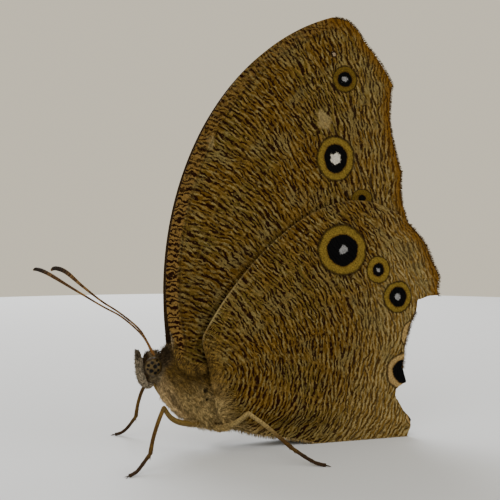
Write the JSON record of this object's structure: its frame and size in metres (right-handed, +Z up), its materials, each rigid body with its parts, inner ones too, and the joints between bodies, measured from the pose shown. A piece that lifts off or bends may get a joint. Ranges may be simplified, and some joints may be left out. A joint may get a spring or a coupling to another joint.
{
  "type": "evening brown butterfly model",
  "caption": "Life-size brown butterfly standing with its wings closed upright, eyespots on the undersides, legs splayed and hindwing edges on the floor.",
  "frame": {"origin": "on the floor under the middle of the bounding box; the butterfly's own middle plane is y = 0", "axes": "+Z up, -X towards the head, +X towards the hindwing tails, -Y to the butterfly's left side and +Y to its right; the wings are closed, so Y is the shortest extent"},
  "size_m": [0.0406, 0.0188, 0.0425],
  "materials": {
    "body": "woolly beige-grey pile of hair-like scales",
    "eyes": "glossy olive-grey with dark spots",
    "palps": "close grey-beige scales",
    "antennae": "satin brown, darker at the club",
    "forewings": "matt ochre-brown scales with fine dark streaks and eyespots",
    "hindwings": "matt ochre-brown scales with fine dark streaks and eyespots",
    "legs": "satin brown with short scales"
  },
  "bodies": {
    "root": {"head": "body", "thorax": "body", "abdomen": "body", "eye_left": "eyes", "eye_right": "eyes", "palp_left": "palps", "palp_right": "palps", "antenna_left": "antennae", "antenna_right": "antennae", "forewing_left": "forewings", "forewing_right": "forewings", "hindwing_left": "hindwings", "hindwing_right": "hindwings", "foreleg_left": "legs", "foreleg_right": "legs", "middle_left_femur": "legs", "middle_left_tibia": "legs", "middle_left_tarsus": "legs", "middle_right_femur": "legs", "middle_right_tibia": "legs", "middle_right_tarsus": "legs", "hind_left_femur": "legs", "hind_left_tibia": "legs", "hind_left_tarsus": "legs", "hind_right_femur": "legs", "hind_right_tibia": "legs", "hind_right_tarsus": "legs"}
  },
  "joints": []
}
